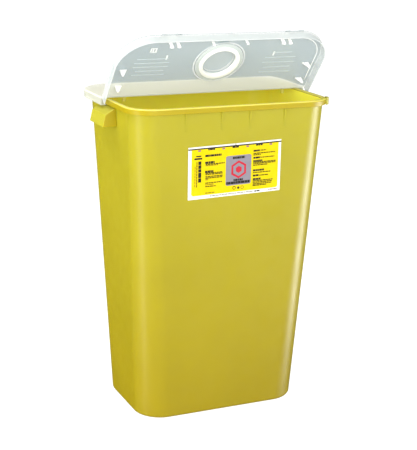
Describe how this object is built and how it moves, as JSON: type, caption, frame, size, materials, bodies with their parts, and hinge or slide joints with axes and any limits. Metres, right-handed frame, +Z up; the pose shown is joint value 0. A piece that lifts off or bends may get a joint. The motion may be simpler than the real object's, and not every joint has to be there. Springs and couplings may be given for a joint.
{
  "type": "sharps container",
  "caption": "Floor-standing sharps container: tapered bin with rolled rim, side handles and a translucent lid whose front half folds up and carries a capped round port.",
  "frame": {"origin": "middle of the flat base, on the floor", "axes": "+X to the right seen from the front, +Y to the rear (lid hinge side is behind the opening), +Z up"},
  "size_m": [0.482, 0.329, 0.8017],
  "materials": {
    "bin_yellow": "moulded polypropylene, satin gloss",
    "lid_clear": "natural translucent polypropylene, smooth",
    "collar_white": "thick natural polypropylene, milky",
    "cap_clear": "natural translucent polypropylene, smooth",
    "label": "printed film, satin"
  },
  "bodies": {
    "container": {"container_body": "bin_yellow", "rim_lug": "bin_yellow", "handle_left": "bin_yellow", "handle_right": "bin_yellow", "front_label": "label", "rear_cover": "lid_clear", "hinge_strip": "lid_clear", "cover_clip_left": "lid_clear", "cover_clip_right": "lid_clear", "cover_clip_rear_left": "lid_clear", "cover_clip_rear_right": "lid_clear", "cover_tab_left": "lid_clear", "cover_tab_right": "lid_clear"},
    "flap": {"front_flap": "lid_clear", "thumb_tab": "lid_clear", "flap_rib_left": "lid_clear", "flap_rib_right": "lid_clear", "side_clip_front_left": "lid_clear", "side_clip_front_right": "lid_clear", "side_clip_rear_left": "lid_clear", "side_clip_rear_right": "lid_clear", "front_latch_left": "lid_clear", "front_latch_right": "lid_clear", "latch_pad_left": "lid_clear", "latch_pad_right": "lid_clear", "cap_bracket_left": "lid_clear", "cap_bracket_right": "lid_clear", "port_collar": "collar_white"},
    "port_cap": {"port_cap": "cap_clear"}
  },
  "joints": [
    {"name": "flap_hinge", "type": "hinge", "parent": "container", "child": "flap", "pos_m": [0, 0, 0.664], "axis": [1, 0, 0], "range_deg": [-53.5, 51.5]},
    {"name": "cap_hinge", "type": "hinge", "parent": "flap", "child": "port_cap", "pos_m": [0, -0.0227, 0.69961], "axis": [-1, 0, 0], "range_deg": [0, 90]}
  ]
}
